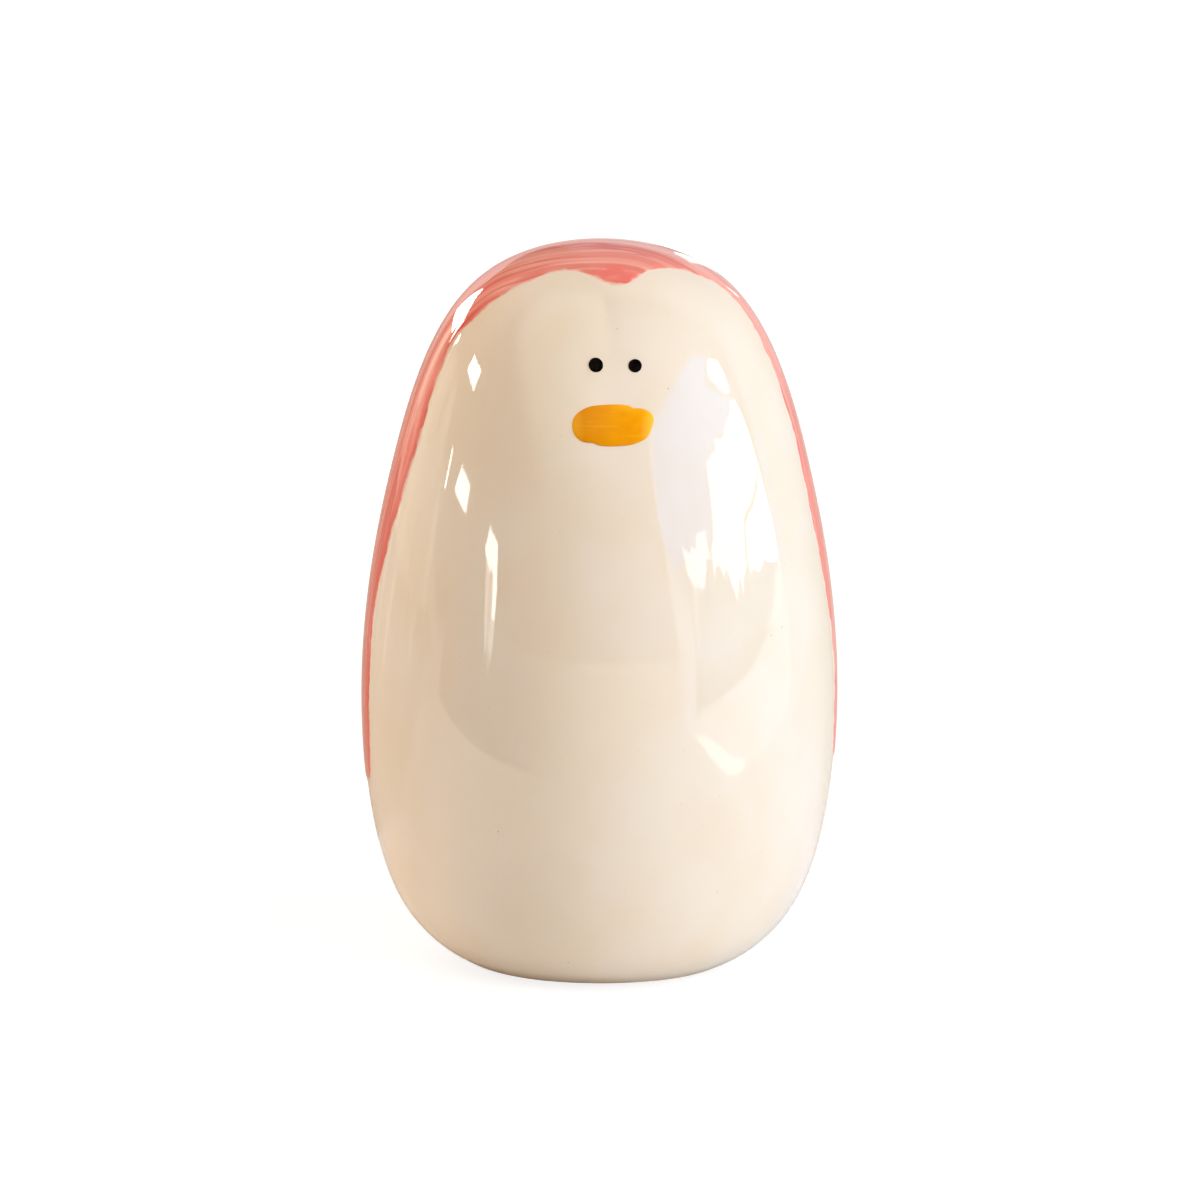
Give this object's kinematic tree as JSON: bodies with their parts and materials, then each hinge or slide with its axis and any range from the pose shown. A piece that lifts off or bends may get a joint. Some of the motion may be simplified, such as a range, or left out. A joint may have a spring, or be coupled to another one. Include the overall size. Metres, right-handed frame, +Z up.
{
  "type": "penguin charm",
  "caption": "Egg-shaped hollow ceramic penguin figure, cream glazed, with a brushed pink mantle, an orange beak and dot eyes, standing on a bare foot ring.",
  "frame": {"origin": "on the table, under the middle of the foot ring", "axes": "+Z up through the crown; -Y is the way the face looks; +X is to the right as seen from the front"},
  "size_m": [0.0526, 0.0524, 0.08],
  "materials": {
    "bare_clay": "fired unglazed clay, matt and fine grained",
    "cream_glaze": "clear gloss over cream, with faint specks and pinholes",
    "pink_glaze": "gloss, brushed in visible overlapping strokes",
    "orange_glaze": "gloss, one full brush dab",
    "black_glaze": "gloss, one dot of the brush tip"
  },
  "bodies": {
    "root": {"casting": "bare_clay", "glaze": "cream_glaze", "mantle": "pink_glaze", "beak": "orange_glaze", "left_eye": "black_glaze", "right_eye": "black_glaze"}
  },
  "joints": []
}
